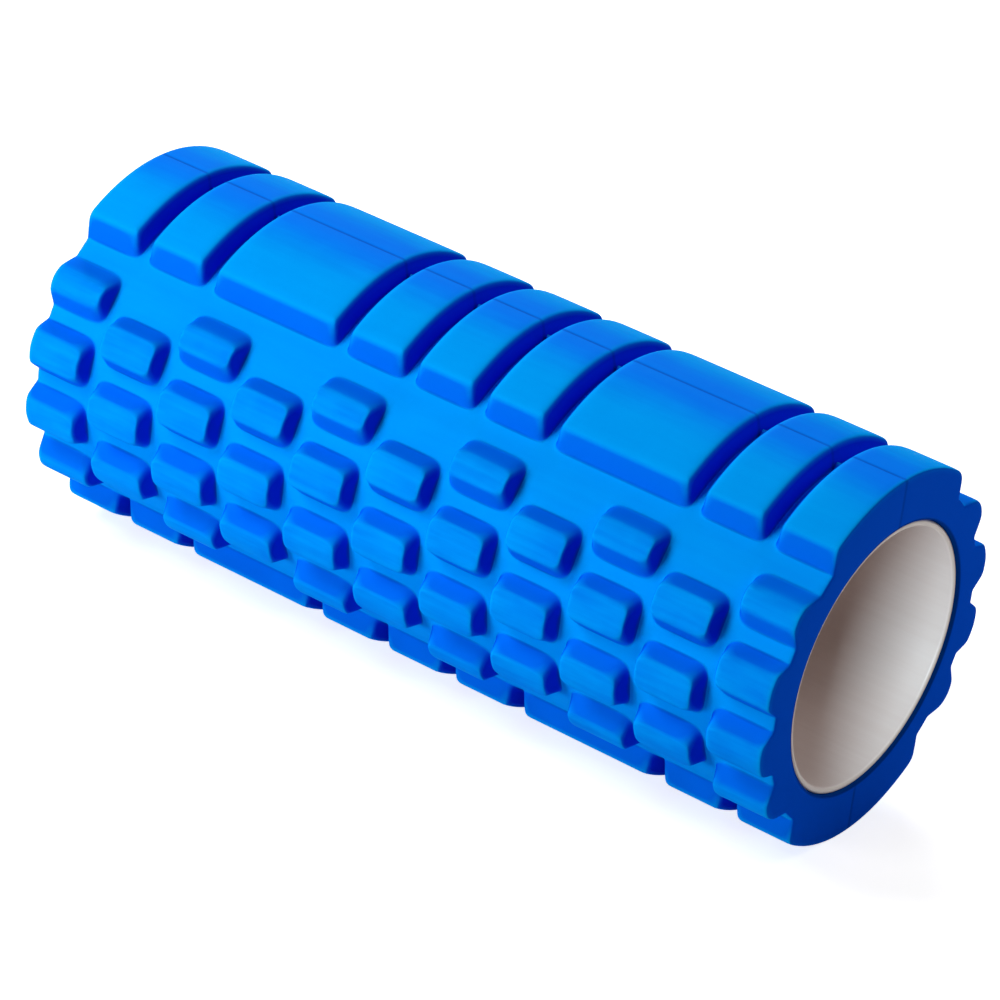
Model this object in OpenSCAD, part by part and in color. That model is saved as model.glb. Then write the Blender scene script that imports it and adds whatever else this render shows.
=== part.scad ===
// Foam massage roller: a moulded foam sleeve bonded over a hollow plastic core.
// The roller lies along X on the floor, which is Z = 0. The sleeve's two-part mould
// opened to the front and back (along Y), so a parting line runs along the top and
// another along the bottom. A row of large blocks is centred on each parting line.
// The front and the back between the rows carry small lugs in a staggered pattern.

/* [Roller] */
// Overall length of the foam sleeve
roller_length = 330; // [300:1:360]
// Outside diameter over the tops of the large blocks
roller_diameter = 141; // [138:0.5:146]
// Depth of the flat that the soft foam takes where the roller lies on the floor
rest_flat = 0.5; // [0.3:0.1:1]
// Rounding of the sleeve's rim at its two end faces
rim_radius = 2.5; // [1:0.5:3]

/* [Core tube] */
// Outside diameter of the core tube, which is also the bore of the foam sleeve
core_diameter = 102; // [96:1:106]
// Wall thickness of the core tube
core_wall = 2.5; // [2:0.5:6]
// How far each end of the core sits inside the foam's end face
core_recess = 1; // [0.5:0.5:5]
// Chamfer on the edges of the core's sawn ends
core_chamfer = 0.5; // [0.2:0.1:0.8]
// Chamfer round the mouth of the foam's bore
mouth_chamfer = 0.8; // [0.4:0.1:1.5]

/* [Relief] */
// Depth of the relief, from the block tops down to the valleys
relief_depth = 8; // [7:0.5:9]
// Lean of every wall that faces along the roller, in degrees
wall_lean = 13; // [8:1:16]
// Width of the grooves between the blocks, measured at the block tops
groove_width = 7.7; // [7.2:0.1:9]
// Width of each row of blocks, between its two flat sides
block_row_width = 79; // [74:1:82]
// Rounding of the blocks' top edges along their grooves
block_edge_radius = 1.6; // [0.8:0.2:2.4]
// Rounding of the blocks' top edges along the flat sides of the row
block_shoulder_radius = 3; // [2:0.5:4]

/* [Lugs] */
// How far the lug crests lie below the block tops
lug_drop = 1; // [0.5:0.5:2]
// Width of a lug round the roller, at its foot
lug_width = 18.4; // [16:0.2:19]
// Angle between one lug and the next in the same column
lug_angle = 23; // [22:0.5:24]
// Lean of a lug's two flanks from its own centre line, in degrees
lug_flank = 36; // [30:1:38]
// Radius of a lug's rounded crown
lug_crown_radius = 9; // [8.5:0.5:10]
// Rounding of a lug's top edges at its two ends
lug_edge_radius = 1.6; // [0.8:0.2:2]

/* [Parting line] */
// Width of the fine crease that the mould leaves along the top
crease_width = 1.2; // [0.8:0.2:2]
// Depth of that crease
crease_depth = 0.5; // [0.3:0.1:0.8]

/* [Hidden] */
$fn = 180;
half_length = roller_length / 2;
block_top = roller_diameter / 2;
valley = block_top - relief_depth;
lug_top = block_top - lug_drop;
core_radius = core_diameter / 2;
axis_height = block_top - rest_flat;
// Shapes on the valley floor are rooted this deep in it, below the rim's rounding.
root = rim_radius + 0.5;
// Cutters reach this far past what they cut.
over = 5;
// A leaning wall ends this far inside the rounding above it, so that the two cross cleanly.
hair = 0.01;

// The relief is a lattice of columns along the roller. A groove's width is missing at the ends.
last_column = 5;
column_count = 2 * last_column + 1;
column_pitch = (roller_length + groove_width) / column_count;
valley_width = groove_width - 2 * relief_depth * tan(wall_lean);
// Each block spans these columns, from its first to its last.
block_spans = [[-5, -5], [-4, -4], [-3, -2], [-1, -1], [0, 0], [1, 1], [2, 3], [4, 4], [5, 5]];
// Lugs in each odd and each even column, on one side of the roller.
odd_lugs = 4;
even_lugs = 3;

// Angles of a column's lugs from the top of the roller, spread evenly about its side.
function lug_angles(count) = [for (i = [0:count - 1]) 90 + (i - (count - 1) / 2) * lug_angle];

// Where a column's foot starts and ends along the roller. The ends of the roller cut it off.
function foot_start(column) = max(-half_length, (column - 0.5) * column_pitch + valley_width / 2);
function foot_end(column) = min(half_length, (column + 0.5) * column_pitch - valley_width / 2);

// Turns a section drawn as [radius, place along the roller] round the roller's axis.
module turned() {
    rotate([0, 90, 0])
        rotate_extrude()
            children();
}

// Draws out an outline, given across the roller as [y, z], along the whole roller.
module drawn_out() {
    rotate([90, 0, 90])
        linear_extrude(roller_length + 2 * over, center = true)
            children();
}

// One wall's top corner, as its arc's centre: the arc touches the wall and the level top.
function corner_centre(foot, top, lean, radius, side) =
    foot - side * ((top - radius - valley) * tan(lean) + radius / cos(lean));

// Where a wall ends at the rounding above it. A square wall ends exactly where the two touch.
function wall_end(centre, top, lean, radius, side) =
    let (reach = lean > 0 ? radius - hair : radius)
    [top - radius + reach * sin(lean), centre + side * reach * cos(lean)];

// A section that stands on the valley floor, from foot to foot, with rounded top corners.
// A wall at the end of the roller stands square and takes the rim's rounding.
module raised_section(from, to, top, edge_radius, floor_radius) {
    lean_0 = from <= -half_length ? 0 : wall_lean;
    lean_1 = to >= half_length ? 0 : wall_lean;
    radius_0 = from <= -half_length ? rim_radius : edge_radius;
    radius_1 = to >= half_length ? rim_radius : edge_radius;
    centre_0 = corner_centre(from, top, lean_0, radius_0, -1);
    centre_1 = corner_centre(to, top, lean_1, radius_1, 1);
    sunk = valley - floor_radius;
    polygon([
        [floor_radius, from - sunk * tan(lean_0)],
        wall_end(centre_0, top, lean_0, radius_0, -1),
        [top, centre_0],
        [top, centre_1],
        wall_end(centre_1, top, lean_1, radius_1, 1),
        [floor_radius, to + sunk * tan(lean_1)]
    ]);
    translate([top - radius_0, centre_0])
        circle(radius_0);
    translate([top - radius_1, centre_1])
        circle(radius_1);
}

// The plain tube of foam up to the valley floor, with its rounded rims.
module sleeve_wall() {
    turned()
        raised_section(-half_length, half_length, valley, rim_radius, core_radius);
}

// Outline of one row of blocks across the roller: flat sides and rounded shoulders.
// The shoulders' arcs reach a little past the block tops, so that the tops cut them cleanly.
module block_row_outline() {
    half_width = block_row_width / 2;
    past_top = 0.25;
    reach = block_top + past_top;
    arc_y = half_width - block_shoulder_radius;
    arc_z = sqrt(pow(reach - block_shoulder_radius, 2) - pow(arc_y, 2));
    tip = reach / (reach - block_shoulder_radius);
    foot_z = valley * cos(asin(half_width / valley)) - 2 * root;
    polygon([
        [-half_width, foot_z],
        [half_width, foot_z],
        [half_width, arc_z],
        [arc_y * tip, arc_z * tip],
        [0, block_top + 3 * over],
        [-arc_y * tip, arc_z * tip],
        [-half_width, arc_z]
    ]);
    for (side = [-1, 1])
        translate([side * arc_y, arc_z])
            circle(block_shoulder_radius);
}

// The two rows of blocks, on the top and the bottom parting line.
module blocks() {
    intersection() {
        turned()
            for (span = block_spans)
                raised_section(
                    foot_start(span[0]), foot_end(span[1]), block_top, block_edge_radius, valley - root
                );
        drawn_out()
            for (turn = [0, 180])
                rotate(turn)
                    block_row_outline();
    }
}

// Outline of one lug across the roller, at the top: two leaning flanks under a round crown.
// The crown reaches a little past the lug's top, which leaves a narrow level crest.
// Below the spring line the flanks alone shape the lug.
module lug_outline() {
    crown_rise = 0.5;
    lug_height = lug_top - valley;
    flank_height = lug_height + 2 * crown_rise;
    spring_line = lug_height * 2 / 3;
    foot = lug_width / 2 + root * tan(lug_flank);
    crest = lug_width / 2 - flank_height * tan(lug_flank);
    intersection() {
        translate([0, valley])
            polygon([[-foot, -root], [foot, -root], [crest, flank_height], [-crest, flank_height]]);
        union() {
            translate([0, lug_top + crown_rise - lug_crown_radius])
                circle(lug_crown_radius);
            translate([-lug_width, valley - root])
                square([2 * lug_width, root + spring_line]);
        }
    }
}

// The lugs of every second column, starting from the first one given, on both sides.
module lug_columns(first, count) {
    intersection() {
        turned()
            for (column = [first:2:last_column])
                raised_section(
                    foot_start(column), foot_end(column), lug_top, lug_edge_radius, valley - root
                );
        drawn_out()
            for (angle = lug_angles(count), side = [-1, 1])
                rotate(side * angle)
                    lug_outline();
    }
}

// The cone that chamfers one mouth of the foam's bore, at the end given as -1 or 1.
module bore_mouth(end) {
    turned()
        polygon([
            [core_radius - over, end * (half_length - mouth_chamfer - over)],
            [core_radius + mouth_chamfer + over, end * (half_length + over)],
            [core_radius - over, end * (half_length + over)]
        ]);
}

// The crease along the top parting line, as a shallow vee across the block tops.
module parting_crease() {
    drawn_out()
        polygon([
            [0, block_top - crease_depth],
            [crease_width, block_top + crease_depth],
            [-crease_width, block_top + crease_depth]
        ]);
}

module core_tube() {
    half_core = half_length - core_recess;
    inner = core_radius - core_wall;
    color("whitesmoke")
        translate([0, 0, axis_height])
            turned()
                polygon([
                    [inner + core_chamfer, -half_core],
                    [core_radius - core_chamfer, -half_core],
                    [core_radius, -half_core + core_chamfer],
                    [core_radius, half_core - core_chamfer],
                    [core_radius - core_chamfer, half_core],
                    [inner + core_chamfer, half_core],
                    [inner, half_core - core_chamfer],
                    [inner, -half_core + core_chamfer]
                ]);
}

module foam_sleeve() {
    color("dodgerblue")
        difference() {
            translate([0, 0, axis_height])
                difference() {
                    union() {
                        sleeve_wall();
                        blocks();
                        lug_columns(-last_column, odd_lugs);
                        lug_columns(-last_column + 1, even_lugs);
                    }
                    bore_mouth(-1);
                    bore_mouth(1);
                    parting_crease();
                }
            translate([-roller_length, -roller_diameter, -roller_diameter])
                cube([2 * roller_length, 2 * roller_diameter, roller_diameter]);
        }
}

core_tube();
foam_sleeve();
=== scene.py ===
# %% [markdown]
# # A foam massage roller
# The real roller is two pieces: a hollow plastic core tube, and a sleeve of blue EVA
# foam that was moulded with all of its blocks and lugs and then glued over the core.
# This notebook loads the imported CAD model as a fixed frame. It then models the soft
# sleeve and the core again with Blender's own tools, and gives them their finishes.

# %% Load the frame
import math

import bmesh
import bpy
from mathutils import Matrix, Vector


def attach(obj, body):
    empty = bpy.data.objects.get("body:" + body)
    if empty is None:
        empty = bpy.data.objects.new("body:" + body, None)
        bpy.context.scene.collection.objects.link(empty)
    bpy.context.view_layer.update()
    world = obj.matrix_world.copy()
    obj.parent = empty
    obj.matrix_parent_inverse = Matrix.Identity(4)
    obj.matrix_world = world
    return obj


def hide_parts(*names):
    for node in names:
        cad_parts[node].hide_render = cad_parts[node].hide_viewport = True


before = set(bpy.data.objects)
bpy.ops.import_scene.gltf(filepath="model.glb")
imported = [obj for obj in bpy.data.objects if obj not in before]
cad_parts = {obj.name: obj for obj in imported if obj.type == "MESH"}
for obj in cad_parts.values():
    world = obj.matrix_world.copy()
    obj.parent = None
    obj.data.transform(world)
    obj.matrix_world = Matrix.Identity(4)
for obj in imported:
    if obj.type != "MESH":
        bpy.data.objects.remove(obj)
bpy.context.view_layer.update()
mm = 0.001

# %% [markdown]
# ## Sizes
# The main sizes are the CAD model's own, in millimetres. The rim's rounding is smaller
# than in the CAD model, as the picture shows it. The roller lies along X with its axis
# 70 mm over the floor. The relief stands on a valley floor of 62.5 mm radius. Angles
# round the roller are in degrees, counted from the top towards the front.

# %% Sizes of the roller
half_length = 165 * mm
axis_height = 70 * mm
valley_radius = 62.5 * mm
bore_radius = 51 * mm
rim_radius = 1.5 * mm

block_height = 8 * mm
lug_height = 7 * mm
wall_lean = math.radians(13)
column_pitch = 30.7 * mm
valley_width = 4 * mm
last_column = 5

block_foot_angle = 39.2
block_top_angle = 34.07
lug_foot_angle = 8.96
odd_lug_angles = (55.5, 78.5)
even_lug_angles = (67, 90)
# How far each row's crest reaches above and below its centre line, in degrees.
lug_crest_ends = {55.5: (3.4, 4.4), 67: (5.1, 5.5), 78.5: (5.6, 5.5), 90: (5.6, 5.6)}
print("columns along the roller:", 2 * last_column + 1)

# %% [markdown]
# ## The sleeve: a mat that is rolled up
# The sleeve could be built as a ready tube, but then every cut and bevel would have to
# follow a curve. It is much easier to model it flat, as a mat, and to roll the mat up at
# the end. The mat's X is the roller's X, its Y is the arc length round the valley floor,
# and its Z is the height over that floor. The pattern has three mirror planes, so only an
# eighth is modelled: from the roller's middle to one end, and from the top parting line
# down to the middle of the front. In the flat eighth, Y = 0 is the middle of the front.

# %% Start the mat as a plain sheet
def flat_place(angle):
    """Where an angle round the roller lies on the flat mat."""
    return math.radians(angle - 90) * valley_radius


def foot_start(column):
    return 0 if column == 0 else (column - 0.5) * column_pitch + valley_width / 2


def foot_end(column):
    if column == last_column:
        return half_length
    return (column + 0.5) * column_pitch - valley_width / 2


side_arc = -flat_place(0)
bpy.ops.object.select_all(action="DESELECT")
bpy.ops.mesh.primitive_plane_add(size=1, location=(half_length / 2, -side_arc / 2, 0))
sleeve = bpy.context.object
sleeve.name = "moulded_foam_sleeve"
sleeve.scale = (half_length, side_arc, 1)
bpy.ops.object.transform_apply(location=True, rotation=False, scale=True)
print("flat eighth in mm:", [round(n / mm, 2) for n in sleeve.dimensions])

# %% [markdown]
# ## Cutting the lattice
# Each lug and block gets its own cell in the sheet, a little larger than its foot. The
# cells come from straight cuts with Bisect, all along the roller and all round it. A few
# more cuts between them keep the faces short, so that they follow the curve later.

# %% Cut the sheet along and round the roller
margin = 0.9 * mm
margin_angle = math.degrees(margin / valley_radius)
middle_third = 4.5 * mm

cuts_along = []
for column in range(last_column + 1):
    middle = column * column_pitch
    cuts_along += [middle + middle_third]
    if column > 0:
        cuts_along += [foot_start(column) - margin, middle - middle_third]
    if column < last_column:
        cuts_along += [foot_end(column) + margin]

crease_angle = 0.55
block_cut_angles = (6, 12, 18, 24, 30)
# Lugs get a cut on each side of their crest from the rows next to them. The first row has
# no row above it, so this cut is added for it.
first_lug_line = 53.78
cuts_round = [crease_angle, *block_cut_angles, block_foot_angle + margin_angle, first_lug_line]
for angle in odd_lug_angles + even_lug_angles:
    cuts_round += [angle - lug_foot_angle - margin_angle]
    if angle < 90:
        cuts_round += [angle + lug_foot_angle + margin_angle]

bpy.ops.object.mode_set(mode="EDIT")
for place in cuts_along:
    bpy.ops.mesh.select_all(action="SELECT")
    bpy.ops.mesh.bisect(plane_co=(place, 0, 0), plane_no=(1, 0, 0))
for angle in cuts_round:
    bpy.ops.mesh.select_all(action="SELECT")
    bpy.ops.mesh.bisect(plane_co=(0, flat_place(angle), 0), plane_no=(0, 1, 0))
print("cuts along and round:", len(cuts_along), len(cuts_round))

# %% [markdown]
# ## Selecting by place
# With no mouse, faces and edges are picked by a test on where they are. This helper
# clears the selection, then selects what passes the test, and returns how many did.

# %% A helper that selects, and the cells of the pattern
hair = 0.01 * mm


def select(kind, test):
    """In edit mode, select only the verts, edges or faces that pass the test."""
    bpy.ops.mesh.select_mode(type=kind.upper())
    bpy.ops.mesh.select_all(action="DESELECT")
    mesh = bpy.context.edit_object.data
    shape = bmesh.from_edit_mesh(mesh)
    shape.normal_update()
    elements = {"vert": shape.verts, "edge": shape.edges, "face": shape.faces}[kind]
    found = [element for element in elements if test(element)]
    for element in found:
        element.select_set(True)
    shape.select_flush_mode()
    bmesh.update_edit_mesh(mesh, loop_triangles=False, destructive=False)
    return len(found)


def inside(point, area):
    """Whether a point lies in an area of the mat: its two ends along X, then along Y."""
    x_low, x_high, y_low, y_high = area
    return x_low - hair < point.x < x_high + hair and y_low - hair < point.y < y_high + hair


def foot_area(first, last, low_angle, high_angle, spare=0):
    """The foot of a lug or block that spans these columns, with some spare round it."""
    return (
        max(foot_start(first) - spare, 0),
        min(foot_end(last) + spare, half_length),
        max(flat_place(low_angle) - spare, -side_arc),
        min(flat_place(high_angle) + spare, 0),
    )


lugs = [
    (column, angle)
    for column in range(last_column + 1)
    for angle in (odd_lug_angles if column % 2 else even_lug_angles)
]
block_columns = [(0, 0), (1, 1), (2, 3), (4, 4), (5, 5)]


def lug_area(lug, spare=0):
    column, angle = lug
    return foot_area(column, column, angle - lug_foot_angle, angle + lug_foot_angle, spare)


def block_area(columns, spare=0):
    return foot_area(*columns, 0, block_foot_angle, spare)


print("lugs and blocks in the eighth:", len(lugs), len(block_columns))

# %% [markdown]
# ## Raising the lugs and blocks
# Inset leaves a narrow rim of valley floor round each foot, which the foot's rounding
# will need. Extrude then raises the feet. Extrude also closes the sheet's cut sides with
# walls. They would end up inside the finished foam, so they are deleted at once.

# %% Inset the feet and extrude them
lug_cells = [lug_area(lug, margin) for lug in lugs]
block_cells = [block_area(columns, margin) for columns in block_columns]
select("face", lambda f: any(inside(f.calc_center_median(), a) for a in lug_cells + block_cells))
bpy.ops.mesh.inset(thickness=margin, depth=0, use_boundary=False, use_even_offset=True)

lug_feet = [lug_area(lug) for lug in lugs]
block_feet = [block_area(columns) for columns in block_columns]
for feet, height in ((lug_feet, lug_height), (block_feet, block_height)):
    raised = select("face", lambda f: any(inside(f.calc_center_median(), a) for a in feet))
    bpy.ops.mesh.extrude_region_move(TRANSFORM_OT_translate={"value": (0, 0, height)})
    print("faces raised:", raised)

# The four sides of the sheet, each as an axis and a place on it.
sheet_sides = ((0, 0), (0, half_length), (1, 0), (1, -side_arc))


def is_on_side(face, axis, side):
    return all(abs(v.co[axis] - side) < hair for v in face.verts)


select("face", lambda f: any(is_on_side(f, *side) for side in sheet_sides))
bpy.ops.mesh.delete(type="FACE")

# %% [markdown]
# ## Rounding the corners in plan
# The lugs and blocks have well rounded corners where their walls meet. While the walls
# still stand upright, Bevel on the upright edges gives each corner a true radius.

# %% Bevel the upright corners
lug_corner = 4.5 * mm
block_corner = 3 * mm
sharp_corner = math.radians(50)
merge_distance = 0.1 * mm
between_heights = (lug_height + block_height) / 2


def is_corner(edge):
    rise = abs(edge.verts[0].co.z - edge.verts[1].co.z)
    if len(edge.link_faces) != 2 or rise < lug_height / 2:
        return False
    return edge.calc_face_angle() > sharp_corner


def is_on_block(edge):
    return max(v.co.z for v in edge.verts) > between_heights


for radius, on_block in ((lug_corner, False), (block_corner, True)):
    corners = select("edge", lambda e: is_corner(e) and is_on_block(e) == on_block)
    bpy.ops.mesh.bevel(offset=radius, segments=3, affect="EDGES", clamp_overlap=False)
    print("corners rounded:", corners)
bpy.ops.mesh.select_all(action="SELECT")
bpy.ops.mesh.remove_doubles(threshold=merge_distance)

# %% [markdown]
# ## Leaning the walls
# A mould only lets go of walls that lean, so every top is smaller than its foot. Resize
# does this: it is given the factor and the fixed point that carry the old two ends to
# the new ones. Where the mat was cut, that side stays in its plane. The mould opened to
# the front, so the flank that faces the blocks leans most on the lugs next to them. A
# block's side wall is upright on the finished roller, which on the flat mat is a lean.

# %% Lean the walls of the lugs and blocks
def stretch(axis, old, new):
    """Resize the selection along one axis, so that the old two ends land on the new ones."""
    factor = (new[1] - new[0]) / (old[1] - old[0])
    if abs(factor - 1) < 1e-9:
        return
    fixed = (new[0] - factor * old[0]) / (1 - factor)
    bpy.ops.transform.resize(
        value=[factor if n == axis else 1 for n in range(3)],
        center_override=[fixed if n == axis else 0 for n in range(3)],
    )


def lean_ends(area, height, low_is_cut, high_is_cut):
    """Pull the selected top in at the ends along the roller, where it isn't cut."""
    lean = height * math.tan(wall_lean)
    low, high = area[0], area[1]
    stretch(0, (low, high), (low + lean * (not low_is_cut), high - lean * (not high_is_cut)))


for (column, angle), area in zip(lugs, lug_feet):
    select("vert", lambda v: inside(v.co, area) and v.co.z > lug_height / 2)
    lean_ends(area, lug_height, column == 0, column == last_column)
    above, below = lug_crest_ends[angle]
    stretch(
        1,
        (flat_place(angle - lug_foot_angle), flat_place(angle + lug_foot_angle)),
        (flat_place(angle - above), flat_place(angle + below)),
    )

last_block_cut = flat_place(block_cut_angles[-1])
for (first, last), area in zip(block_columns, block_feet):
    select("vert", lambda v: inside(v.co, area) and v.co.z > block_height / 2)
    lean_ends(area, block_height, first == 0, last == last_column)
    side_area = (area[0], area[1], last_block_cut, area[3])
    select("vert", lambda v: inside(v.co, side_area) and v.co.z > block_height / 2)
    stretch(1, (last_block_cut, area[3]), (last_block_cut, flat_place(block_top_angle)))
    print("block leaned, columns", first, "to", last)

# %% [markdown]
# ## Rounding the crowns
# Seen from the end of the roller, the lugs are round on top. Each crest is given a crown:
# its points sink by the square of their distance from the lug's centre line, and furthest
# where the flanks begin. The lugs at the end of the roller are rounder than the others.

# %% Give the lugs their crowns
crown_drop = 0.6 * mm
end_crown_drop = 1 * mm
shape = bmesh.from_edit_mesh(sleeve.data)
crowned = 0
for (column, angle), area in zip(lugs, lug_feet):
    above, below = lug_crest_ends[angle]
    drop = end_crown_drop if column == last_column else crown_drop
    for vert in shape.verts:
        if inside(vert.co, area) and vert.co.z > lug_height / 2:
            aside = vert.co.y - flat_place(angle)
            half = math.radians(above if aside < 0 else below) * valley_radius
            vert.co.z -= drop * (aside / half) ** 2
            crowned += 1
bmesh.update_edit_mesh(sleeve.data)
print("points on the crowns:", crowned)

# %% [markdown]
# ## Rounding the edges
# Foam has no sharp edges. The top edges of the lugs are rounded a little, those of the
# lugs at the end of the roller more, and those of the blocks most. The feet get a small
# hollow. Edges are picked by how steep the faces on their two sides are.

# %% Bevel the top edges and the feet
lug_edge = 1.1 * mm
end_lug_edge = 1.5 * mm
block_edge = 2 * mm
foot_radius = 0.8 * mm
steepest_top = 0.8


def is_wall(face):
    return face.normal.z < steepest_top


def is_wall_end(edge):
    faces = edge.link_faces
    return len(faces) == 2 and is_wall(faces[0]) != is_wall(faces[1])


def is_top(edge):
    return is_wall_end(edge) and min(v.co.z for v in edge.verts) > lug_height / 2


def is_in_last_column(edge):
    return max(v.co.x for v in edge.verts) > foot_start(last_column)


for radius, on_block, at_the_end in (
    (lug_edge, False, False),
    (end_lug_edge, False, True),
    (block_edge, True, False),
    (block_edge, True, True),
):
    tops = select(
        "edge",
        lambda e: is_top(e) and is_on_block(e) == on_block and is_in_last_column(e) == at_the_end,
    )
    bpy.ops.mesh.bevel(offset=radius, segments=3, affect="EDGES", clamp_overlap=False)
    print("top edges rounded:", tops)
feet = select("edge", lambda e: is_wall_end(e) and max(v.co.z for v in e.verts) < hair)
bpy.ops.mesh.bevel(
    offset=foot_radius, segments=2, affect="EDGES", clamp_overlap=False, loop_slide=False
)
print("foot edges rounded:", feet)

# %% [markdown]
# ## End face and bore
# The edges along the sheet's end are extruded straight down to the level of the bore,
# which makes the end face, and then along the mat, which makes the wall of the bore. The
# rim gets a small rounding, and the mouth of the bore a smaller one.

# %% Extrude the end face and the bore
foam_wall = valley_radius - bore_radius
mouth_radius = 0.8 * mm
faces_the_end = 0.9


def at_end(vert):
    return vert.co.x > half_length - hair


def at_bore(vert):
    return vert.co.z < -foam_wall + hair


select("edge", lambda e: all(at_end(v) for v in e.verts))
bpy.ops.mesh.extrude_edges_move(TRANSFORM_OT_translate={"value": (0, 0, -foam_wall)})
bpy.ops.transform.resize(value=(1, 1, 0), center_override=(0, 0, -foam_wall))
bpy.ops.mesh.extrude_edges_move(TRANSFORM_OT_translate={"value": (-half_length, 0, 0)})

rim = select(
    "edge",
    lambda e: all(at_end(v) and not at_bore(v) for v in e.verts)
    and any(abs(f.normal.x) < faces_the_end for f in e.link_faces),
)
bpy.ops.mesh.bevel(offset=rim_radius, segments=3, affect="EDGES", clamp_overlap=False)
mouth = select("edge", lambda e: all(at_end(v) and at_bore(v) for v in e.verts))
bpy.ops.mesh.bevel(offset=mouth_radius, segments=2, affect="EDGES", clamp_overlap=False)
print("edges in the rim and the mouth:", rim, mouth)

# %% [markdown]
# ## The parting line
# The two halves of the mould met along the top. The picture shows a fine line there, over
# the block tops and down the end face, which is modelled as a crease. It also shows small
# specks in the grooves on the same line. They are taken for tags of foam that was squeezed
# into the gap between the halves.

# %% Sink the crease and raise the tags
crease_depth = 0.6 * mm
end_crease_depth = 0.3 * mm
tag_height = 5 * mm
wide_block = 2
tag_places = [(c + 0.5) * column_pitch for c in range(last_column) if c != wide_block]


def on_parting_line(vert):
    return vert.co.y < -side_arc + hair


creased = select("vert", lambda v: on_parting_line(v) and v.co.z > block_height - hair)
bpy.ops.transform.translate(value=(0, 0, -crease_depth))
select("vert", lambda v: on_parting_line(v) and at_end(v))
bpy.ops.transform.translate(value=(-end_crease_depth, 0, 0))
tagged = select(
    "vert",
    lambda v: on_parting_line(v)
    and abs(v.co.z) < hair
    and any(abs(v.co.x - place) < valley_width / 3 for place in tag_places),
)
bpy.ops.transform.translate(value=(0, 0, tag_height))
print("points on the crease and the tags:", creased, tagged)

# %% [markdown]
# ## Holding the valley floor still
# Subdivision Surface pulls every point towards its neighbours. On the level valley floor
# the faces at the corners of the feet are narrow, and would be pulled over each other. A
# full crease on the floor's edges keeps them where they are.

# %% Crease the edges of the valley floor
quite_level = 0.9999


def is_level_floor(face):
    return face.normal.z > quite_level and all(abs(v.co.z) < hair for v in face.verts)


def is_inside_floor(edge):
    return len(edge.link_faces) == 2 and all(is_level_floor(f) for f in edge.link_faces)


held = select("edge", is_inside_floor)
bpy.ops.transform.edge_crease(value=1)
bpy.ops.object.mode_set(mode="OBJECT")
print("floor edges held:", held)

# %% [markdown]
# ## Mirroring, smoothing and rolling up
# Two Mirror modifiers make the whole mat: the first works about the middle of the front,
# the second about the parting line, to which the mat is moved in between. One level of
# Subdivision Surface softens every bevel. Then each point is rolled up: its arc length
# becomes an angle, and its height a radius. The mat's two long sides meet underneath.

# %% Mirror the eighth, smooth it and roll it up
def apply_modifier(piece, kind, **settings):
    """Add a modifier with these settings and apply it."""
    modifier = piece.modifiers.new(kind.lower(), kind)
    for name, value in settings.items():
        setattr(modifier, name, value)
    bpy.context.view_layer.objects.active = piece
    bpy.ops.object.modifier_apply(modifier=modifier.name)


apply_modifier(sleeve, "MIRROR", use_axis=(True, True, False), merge_threshold=hair)
bpy.ops.object.mode_set(mode="EDIT")
bpy.ops.mesh.select_all(action="SELECT")
bpy.ops.transform.translate(value=(0, side_arc, 0))
bpy.ops.object.mode_set(mode="OBJECT")
apply_modifier(sleeve, "MIRROR", use_axis=(False, True, False), merge_threshold=hair)
apply_modifier(sleeve, "SUBSURF", levels=1, render_levels=1)

for vert in sleeve.data.vertices:
    along, arc, height = vert.co
    turn = arc / valley_radius
    radius = valley_radius + height
    vert.co = (along, -radius * math.sin(turn), axis_height + radius * math.cos(turn))

bpy.ops.object.mode_set(mode="EDIT")
bpy.ops.mesh.select_all(action="SELECT")
bpy.ops.mesh.remove_doubles(threshold=hair)
print("triangles are about", 2 * len(sleeve.data.polygons))

# %% [markdown]
# ## Resting on the floor
# Under its own weight the soft foam gives a little where it lies on the floor. Whatever
# reaches below the floor is pressed flat against it.

# %% Press the underside flat
pressed = select("vert", lambda v: v.co.z < 0)
bpy.ops.transform.resize(value=(1, 1, 0), center_override=(0, 0, 0))
bpy.ops.mesh.select_all(action="SELECT")
bpy.ops.mesh.normals_make_consistent(inside=False)
bpy.ops.object.mode_set(mode="OBJECT")
bpy.ops.object.shade_smooth()

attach(sleeve, "root")
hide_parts("foam_sleeve")
print("points pressed flat:", pressed)

# %% [markdown]
# ## The core tube
# The core is sawn from an extruded plastic tube. It is made from an open cylinder: the
# wall comes from Solidify, inwards, and the sawn ends get a small rounding with Bevel.

# %% Model the core tube
core_half = 164 * mm
core_wall = 2.5 * mm
core_edge = 1.1 * mm

bpy.ops.object.select_all(action="DESELECT")
bpy.ops.mesh.primitive_cylinder_add(
    vertices=160,
    radius=bore_radius,
    depth=2 * core_half,
    end_fill_type="NOTHING",
    location=(0, 0, axis_height),
    rotation=(0, math.radians(90), 0),
)
core = bpy.context.object
core.name = "plastic_core_tube"
bpy.ops.object.transform_apply(location=True, rotation=True, scale=True)
bpy.ops.object.mode_set(mode="EDIT")
bpy.ops.mesh.select_all(action="SELECT")
bpy.ops.mesh.normals_make_consistent(inside=False)
bpy.ops.object.mode_set(mode="OBJECT")
apply_modifier(core, "SOLIDIFY", thickness=core_wall, offset=-1, use_even_offset=True)
apply_modifier(
    core,
    "BEVEL",
    width=core_edge,
    segments=4,
    limit_method="ANGLE",
    angle_limit=math.radians(60),
)
bpy.ops.object.shade_smooth_by_angle(angle=math.radians(40))
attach(core, "root")
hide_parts("core_tube")
print("core tube in mm:", [round(n / mm, 2) for n in core.dimensions])

# %% [markdown]
# ## Colours and nodes
# Colours are written as sRGB hex values, as in any paint program, and turned to the
# linear values that the shader works with. One helper adds a node with its settings and
# links, and is all that the materials below need.

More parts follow.
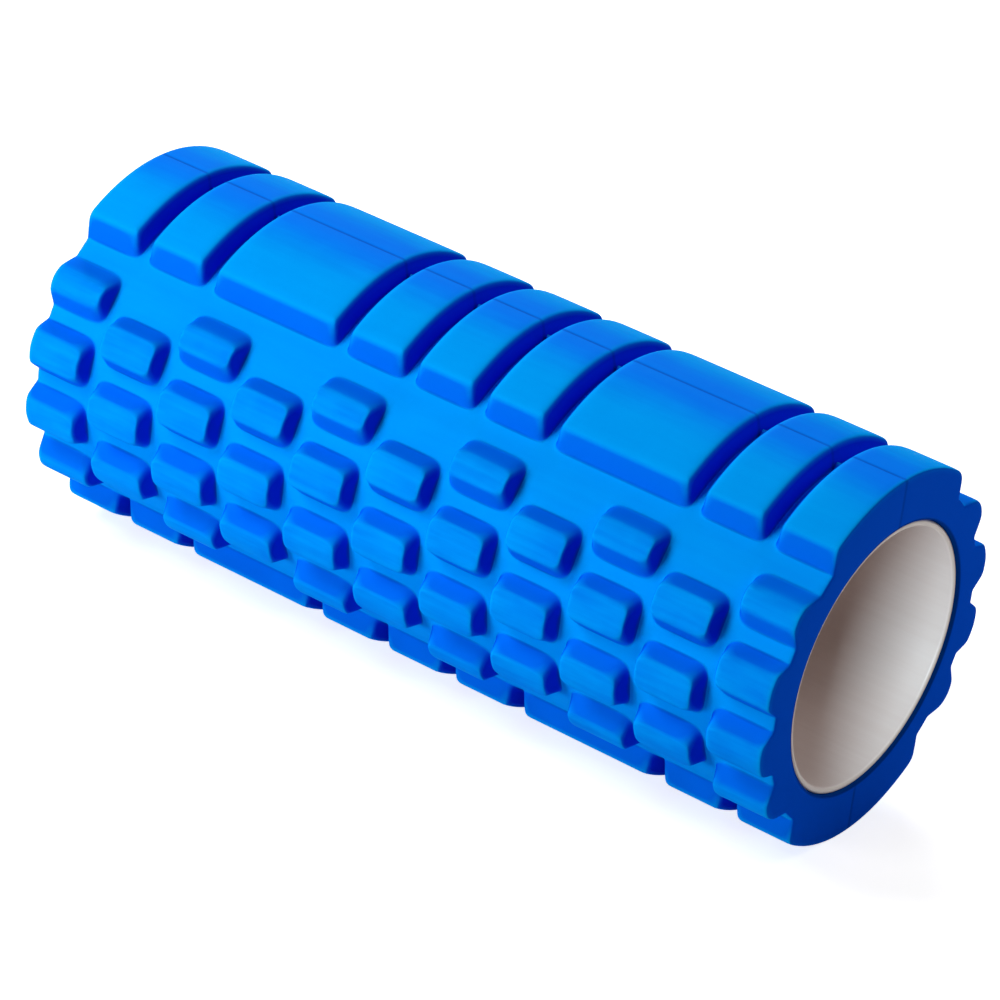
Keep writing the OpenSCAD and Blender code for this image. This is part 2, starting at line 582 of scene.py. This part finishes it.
# %% Helpers for materials
def linear(hex_colour):
    """An sRGB hex colour as linear red, green, blue and alpha."""
    parts = [int(hex_colour[n : n + 2], 16) / 255 for n in (1, 3, 5)]
    parts = [c / 12.92 if c <= 0.04045 else ((c + 0.055) / 1.055) ** 2.4 for c in parts]
    return (*parts, 1)


def add_node(tree, kind, settings=None, **inputs):
    """Add a node. Settings are its own values, inputs its sockets: a value or a link."""
    node = tree.nodes.new(kind)
    for name, value in (settings or {}).items():
        setattr(node, name, value)
    for name, value in inputs.items():
        # A name such as _0 is a socket's number. Any other name is the socket's own.
        key = int(name[1:]) if name[1:].isdigit() else name.replace("_", " ")
        socket = node.inputs[key]
        if isinstance(value, bpy.types.NodeSocket):
            tree.links.new(value, socket)
        else:
            socket.default_value = value
    return node


def new_material(name):
    """A material with only its output, and its node tree."""
    material = bpy.data.materials.new(name)
    material.use_nodes = True
    material.node_tree.nodes.clear()
    return material, material.node_tree


print("helpers ready, mid grey is", round(linear("#808080")[0], 3))

# %% [markdown]
# ## EVA foam
# The sleeve is closed-cell EVA foam. The dye goes right through it, and the hot mould
# gives it a thin skin, so it is strongly coloured and hardly shines. One blue all over
# would be the plain way. Here, besides a soft drift, the blue is not even, and that is
# painted light and shade, because the lamps alone didn't give it. Painted shade makes it
# deeper along the parting line and on the slopes, much deeper on the walls, dark in the
# hollows, the crease and the mouth of the bore, and less deep on the end faces. Painted
# highlights make it paler on the shoulders of the blocks and on the edges, and painted
# bounce light makes it paler in the valleys. Each part is a mask, found from the place,
# the slope or the Pointiness of the surface, and each lays one blue over the last.

# %% Masks for the foam
foam, tree = new_material("moulded_eva_foam")
coords = add_node(tree, "ShaderNodeTexCoord")
place = coords.outputs["Object"]
place_parts = add_node(tree, "ShaderNodeSeparateXYZ", Vector=place)
normal_parts = add_node(tree, "ShaderNodeSeparateXYZ", Vector=coords.outputs["Normal"])
absolute = {"operation": "ABSOLUTE"}
along = add_node(tree, "ShaderNodeMath", absolute, _0=place_parts.outputs["X"])
across = add_node(tree, "ShaderNodeMath", absolute, _0=place_parts.outputs["Y"])
lengthwise = add_node(tree, "ShaderNodeMath", absolute, _0=normal_parts.outputs["X"])

from_axis = add_node(
    tree, "ShaderNodeVectorMath", {"operation": "SUBTRACT"}, _0=place, _1=(0, 0, axis_height)
)
from_axis = add_node(
    tree, "ShaderNodeVectorMath", {"operation": "MULTIPLY"}, _0=from_axis.outputs[0], _1=(0, 1, 1)
)
radius = add_node(tree, "ShaderNodeVectorMath", {"operation": "LENGTH"}, _0=from_axis.outputs[0])
outward = add_node(
    tree, "ShaderNodeVectorMath", {"operation": "NORMALIZE"}, _0=from_axis.outputs[0]
)
facing = add_node(
    tree,
    "ShaderNodeVectorMath",
    {"operation": "DOT_PRODUCT"},
    _0=outward.outputs[0],
    _1=coords.outputs["Normal"],
)
pointed = add_node(tree, "ShaderNodeNewGeometry").outputs["Pointiness"]

# Each mask rises from 0 to its strength as its measure goes from the first value to the
# second.
masks = {}
# Each mask below that gets a tint places painted light or shade, as its tint says.
for name, measure, start, end, strength in (
    # Painted shade along the parting line.
    ("middle", across.outputs[0], 22 * mm, 6 * mm, 0.8),
    # Painted highlight on the shoulders of the blocks.
    ("shoulder", across.outputs[0], 10 * mm, 26 * mm, 0.8),
    ("on_blocks", across.outputs[0], 43 * mm, 39 * mm, 1),
    # Painted bounce light on the valley floor.
    ("valley", radius.outputs["Value"], 66 * mm, 63 * mm, 0.75),
    ("raised", radius.outputs["Value"], 64 * mm, 67 * mm, 1),
    # Painted shade on the slopes and side walls.
    ("flank", facing.outputs["Value"], 0.93, 0.7, 0.92),
    # Painted highlight on convex edges, and below it on the edges of the end walls.
    ("painted_edge_highlight", pointed, 0.512, 0.532, 0.7),
    ("painted_rim_highlight", pointed, 0.512, 0.532, 0.6),
    # Painted shade on the walls that face along the roller.
    ("wall", lengthwise.outputs[0], 0.5, 0.95, 1),
    # Painted shade on the end faces, less deep than on the walls.
    ("end", along.outputs[0], 158 * mm, 160 * mm, 1),
    # Painted shadow at the mouth of the bore.
    ("mouth", radius.outputs["Value"], 52.4 * mm, 51.6 * mm, 0.6),
    # Painted shade in the concave hollows.
    ("hollow", pointed, 0.492, 0.478, 0.6),
    # Painted shade in the crease of the parting line.
    ("parting", across.outputs[0], 1.0 * mm, 0.3 * mm, 0.4),
    # Painted shade in the crease where it runs down the end face.
    ("wall_parting", across.outputs[0], 1.2 * mm, 0.3 * mm, 0.3),
    ("level", facing.outputs["Value"], 0.7, 0.93, 1),
):
    mask = add_node(tree, "ShaderNodeMapRange", _0=measure, _1=start, _2=end, _3=0, _4=strength)
    masks[name] = mask.outputs[0]
for name, other in (
    ("shoulder", "on_blocks"),
    ("painted_edge_highlight", "raised"),
    ("painted_rim_highlight", "raised"),
    ("painted_rim_highlight", "wall"),
    ("end", "wall"),
    ("parting", "level"),
    ("wall_parting", "wall"),
):
    both = add_node(
        tree, "ShaderNodeMath", {"operation": "MULTIPLY"}, _0=masks[name], _1=masks[other]
    )
    masks[name] = both.outputs[0]
print("masks:", ", ".join(masks))

# %% [markdown]
# ## The blues, the skin and the swell
# The blues drift softly over some 25 mm, and the same noise lifts the surface a little.
# Faint streaks run along the roller, about 3 mm wide and ten times as long. The grain of
# such a skin is about 0.2 mm. It is drawn at 0.8 mm, because anything finer would be lost
# in the picture. The IOR is typical of EVA. The specular level is far below the usual one,
# because the picture shows no gloss on the foam.

# %% The foam's colours and skin
drift_size = 25 * mm
grain_size = 0.8 * mm
streaks_per_metre = 330
drift = add_node(
    tree, "ShaderNodeTexNoise", Vector=place, Scale=1 / drift_size, Detail=3, Roughness=0.55
)
grain = add_node(tree, "ShaderNodeTexNoise", Vector=place, Scale=1 / grain_size, Detail=2)
drawn = add_node(tree, "ShaderNodeMapping", Vector=place, Scale=(0.1, 1, 1))
streaks = add_node(
    tree,
    "ShaderNodeTexNoise",
    Vector=drawn.outputs["Vector"],
    Scale=streaks_per_metre,
    Detail=2,
    Roughness=0.6,
)
uneven = add_node(
    tree, "ShaderNodeMath", {"operation": "ADD"}, _0=drift.outputs["Fac"], _1=streaks.outputs["Fac"]
)
uneven = add_node(tree, "ShaderNodeMapRange", _0=uneven.outputs[0], _1=0.7, _2=1.3)
blue = add_node(
    tree,
    "ShaderNodeMix",
    {"data_type": "RGBA"},
    _0=uneven.outputs[0],
    _6=linear("#0082F4"),
    _7=linear("#009AFF"),
)
for name, tint in (
    # Painted shade: a deeper blue along the parting line.
    ("middle", "#007AFF"),
    # Painted highlight: a paler blue on the shoulders of the blocks.
    ("shoulder", "#00A4FF"),
    # Painted bounce light: a paler blue on the valley floor.
    ("valley", "#009DFF"),
    # Painted shade: a deeper blue on the slopes of the lugs and blocks.
    ("flank", "#006AEE"),
    # Painted highlight: a paler blue on the convex edges of the lugs and blocks.
    ("painted_edge_highlight", "#00A8FF"),
    # Painted shade: a much deeper blue on the walls that face along the roller.
    ("wall", "#0034DC"),
    # Painted shade: a deeper blue on the end faces, less deep than on the walls.
    ("end", "#005AEC"),
    # Painted highlight: a paler blue on the convex edges of the walls that face along the roller.
    ("painted_rim_highlight", "#007CFF"),
    # Painted shadow: a near black ring at the mouth of the bore, next to the core.
    ("mouth", "#00205C"),
    # Painted shade: a deeper blue in the concave hollows and at the feet.
    ("hollow", "#0040A8"),
    # Painted shade: a dark line in the crease of the parting line.
    ("parting", "#0040A8"),
    # Painted shade: a dark line where the crease runs down the end face.
    ("wall_parting", "#00308C"),
):
    blue = add_node(
        tree,
        "ShaderNodeMix",
        {"data_type": "RGBA"},
        _0=masks[name],
        _6=blue.outputs[2],
        _7=linear(tint),
    )

swell = add_node(
    tree, "ShaderNodeBump", Strength=0.5, Distance=0.5 * mm, Height=drift.outputs["Fac"]
)
skin = add_node(
    tree,
    "ShaderNodeBump",
    Strength=0.3,
    Distance=0.06 * mm,
    Height=grain.outputs["Fac"],
    Normal=swell.outputs["Normal"],
)
gloss = add_node(tree, "ShaderNodeMapRange", _0=grain.outputs["Fac"], _3=0.48, _4=0.62)
foam_shader = add_node(
    tree,
    "ShaderNodeBsdfPrincipled",
    Base_Color=blue.outputs[2],
    Roughness=gloss.outputs[0],
    IOR=1.49,
    Specular_IOR_Level=0.002,
    Normal=skin.outputs["Normal"],
)
add_node(tree, "ShaderNodeOutputMaterial", Surface=foam_shader.outputs["BSDF"])
sleeve.data.materials.append(foam)
print("material on the sleeve:", foam.name)

# %% [markdown]
# ## ABS plastic
# The core is taken for extruded ABS, off-white and faintly warm. The die leaves fine lines
# along the tube. The sawn ring at each end is painted a little darker, as painted shade.
# The lines are noise that is stretched along the roller, so that one texture gives colour,
# gloss and relief together. Real lines are some tenths of a millimetre wide. They are drawn
# about 3 mm wide and fifty times as long, because finer ones would not show.

# %% The core's material
plastic, tree = new_material("extruded_abs_plastic")
lines_per_metre = 350
coords = add_node(tree, "ShaderNodeTexCoord")
stretched = add_node(
    tree, "ShaderNodeMapping", Vector=coords.outputs["Object"], Scale=(0.02, 1, 1)
)
lines = add_node(
    tree,
    "ShaderNodeTexNoise",
    Vector=stretched.outputs["Vector"],
    Scale=lines_per_metre,
    Detail=3,
    Roughness=0.6,
)
white = add_node(
    tree,
    "ShaderNodeMix",
    {"data_type": "RGBA"},
    _0=lines.outputs["Fac"],
    _6=linear("#DFCCC5"),
    _7=linear("#E8D8D2"),
)
normal_parts = add_node(tree, "ShaderNodeSeparateXYZ", Vector=coords.outputs["Normal"])
lengthwise = add_node(tree, "ShaderNodeMath", absolute, _0=normal_parts.outputs["X"])
# Painted shade: the sawn ring at each end is laid a little darker.
sawn = add_node(tree, "ShaderNodeMapRange", _0=lengthwise.outputs[0], _1=0.5, _2=0.9)
white = add_node(
    tree,
    "ShaderNodeMix",
    {"data_type": "RGBA"},
    _0=sawn.outputs[0],
    _6=white.outputs[2],
    _7=linear("#D2C0B6"),
)
relief = add_node(
    tree, "ShaderNodeBump", Strength=0.4, Distance=0.08 * mm, Height=lines.outputs["Fac"]
)
gloss = add_node(tree, "ShaderNodeMapRange", _0=lines.outputs["Fac"], _3=0.32, _4=0.5)
plastic_shader = add_node(
    tree,
    "ShaderNodeBsdfPrincipled",
    Base_Color=white.outputs[2],
    Roughness=gloss.outputs[0],
    IOR=1.53,
    Normal=relief.outputs["Normal"],
)
add_node(tree, "ShaderNodeOutputMaterial", Surface=plastic_shader.outputs["BSDF"])
core.data.materials.append(plastic)
print("material on the core:", plastic.name)

# %% [markdown]
# ## Floor
# The roller lies on white paper in a plain studio. Paper that is only lit comes out grey,
# and more light would bleach the roller. So the paper also glows a little, but only for
# rays that come from the camera, from a reflection or through a clear surface: Light Path
# tells them apart. Such a glow lights nothing, and the roller keeps its shadow.

# %% The paper floor
floor_size = 12
paper_glow = 0.75


def seen_rays(tree):
    """A link that is 1 for rays that look, and 0 for rays that carry light."""
    path = add_node(tree, "ShaderNodeLightPath")
    seen = path.outputs["Is Camera Ray"]
    for ray in ("Is Glossy Ray", "Is Transmission Ray"):
        either = add_node(
            tree, "ShaderNodeMath", {"operation": "MAXIMUM"}, _0=seen, _1=path.outputs[ray]
        )
        seen = either.outputs[0]
    return seen


bpy.ops.object.select_all(action="DESELECT")
bpy.ops.mesh.primitive_plane_add(size=floor_size)
floor = bpy.context.object
floor.name = "studio_floor"
paper, tree = new_material("white_paper_floor")
lift = add_node(tree, "ShaderNodeMapRange", _0=seen_rays(tree), _3=0, _4=paper_glow)
matt = add_node(tree, "ShaderNodeBsdfDiffuse", Color=linear("#E8E8E8"))
glow = add_node(tree, "ShaderNodeEmission", Strength=lift.outputs[0])
both = add_node(tree, "ShaderNodeAddShader", _0=matt.outputs[0], _1=glow.outputs[0])
add_node(tree, "ShaderNodeOutputMaterial", Surface=both.outputs[0])
floor.data.materials.append(paper)
print("floor across, in m:", floor_size)

# %% [markdown]
# ## The air round the studio
# Past the paper, the world is white to the eye. As a light it is dim, so that the lamps
# alone shape the lugs.

# %% The world
dim_light = 0.04
world = bpy.data.worlds.new("studio_air")
bpy.context.scene.world = world
world.use_nodes = True
tree = world.node_tree
tree.nodes.clear()
strength = add_node(tree, "ShaderNodeMapRange", _0=seen_rays(tree), _3=dim_light, _4=1)
air = add_node(tree, "ShaderNodeBackground", Color=(1, 1, 1, 1), Strength=strength.outputs[0])
add_node(tree, "ShaderNodeOutputWorld", Surface=air.outputs[0])
print("world:", world.name)

# %% [markdown]
# ## Lamps
# Soft square lamps stand mostly to the left: one in front and high, one in front and low,
# and one behind. They make the left of the roller lighter than the right, and leave the
# walls that face right in shade. A weak lamp on the right lifts the end face out of the
# dark. The core is far paler than the foam. The two front lamps shine straight into its
# left end and would bleach it, so Light linking keeps them off it. A fifth lamp looks into
# its right end. It is linked to the core alone, so that it can't bleach the foam.

# %% Set up the lamps
def add_lamp(name, place, size, power):
    """A soft square lamp that looks at the roller's middle."""
    light = bpy.data.lights.new(name, "AREA")
    light.shape = "SQUARE"
    light.size = size
    light.energy = power
    lamp = bpy.data.objects.new(name, light)
    bpy.context.scene.collection.objects.link(lamp)
    lamp.location = place
    lamp.visible_camera = False
    aim = Vector((0, 0, axis_height)) - Vector(place)
    lamp.rotation_euler = aim.to_track_quat("-Z", "Y").to_euler()
    return lamp


front_lamp = add_lamp("front_lamp", (-0.625, -0.625, 0.954), 0.5, 9)
low_lamp = add_lamp("low_lamp", (-0.523, -1.12, 0.244), 0.35, 6.6)
add_lamp("back_lamp", (-0.8, 1.13, 0.87), 0.7, 15.5)
add_lamp("right_lamp", (0.5, 0.2, 0.5), 0.3, 0.7)

core_lamp = add_lamp("core_lamp", (0.57, -1.76, 0.82), 0.6, 32)
core_lamp.data.color = (0.78, 1.0, 1.1)
lit_by_core_lamp = bpy.data.collections.new("lit_by_core_lamp")
lit_by_core_lamp.objects.link(core)
core_lamp.light_linking.receiver_collection = lit_by_core_lamp

all_but_core = bpy.data.collections.new("all_but_core")
all_but_core.objects.link(core)
all_but_core.collection_objects[0].light_linking.link_state = "EXCLUDE"
for lamp in (front_lamp, low_lamp):
    lamp.light_linking.receiver_collection = all_but_core
print("lamps:", ", ".join(light.name for light in bpy.data.lights))

# %% [markdown]
# ## Camera
# The camera stands in front and to the right, a little over the roller, with a long lens.
# Its place, view and roll were found by matching the roller's outline, the ring of the
# bore and the grooves. The lens is written in pixels of a picture 1000 pixels wide, and
# turned to millimetres of a 36 mm sensor.

# %% Set up the camera
photo_size = 1000
focal_pixels = 4800
camera_place = Vector((0.83895, -1.25957, 0.89768))
camera_view = Vector((-0.4843, 0.7296, -0.4829))
camera_roll = math.radians(7.13)

lens = bpy.data.cameras.new("photo_camera")
lens.sensor_width = 36
lens.lens = focal_pixels / photo_size * lens.sensor_width
camera = bpy.data.objects.new("photo_camera", lens)
bpy.context.scene.collection.objects.link(camera)
turn = camera_view.to_track_quat("-Z", "Y").to_matrix().to_4x4()
roll = Matrix.Rotation(camera_roll, 4, "Z")
camera.matrix_world = Matrix.Translation(camera_place) @ turn @ roll
bpy.context.scene.camera = camera
bpy.context.scene.view_settings.view_transform = "Standard"
print("lens in mm:", round(lens.lens, 1))
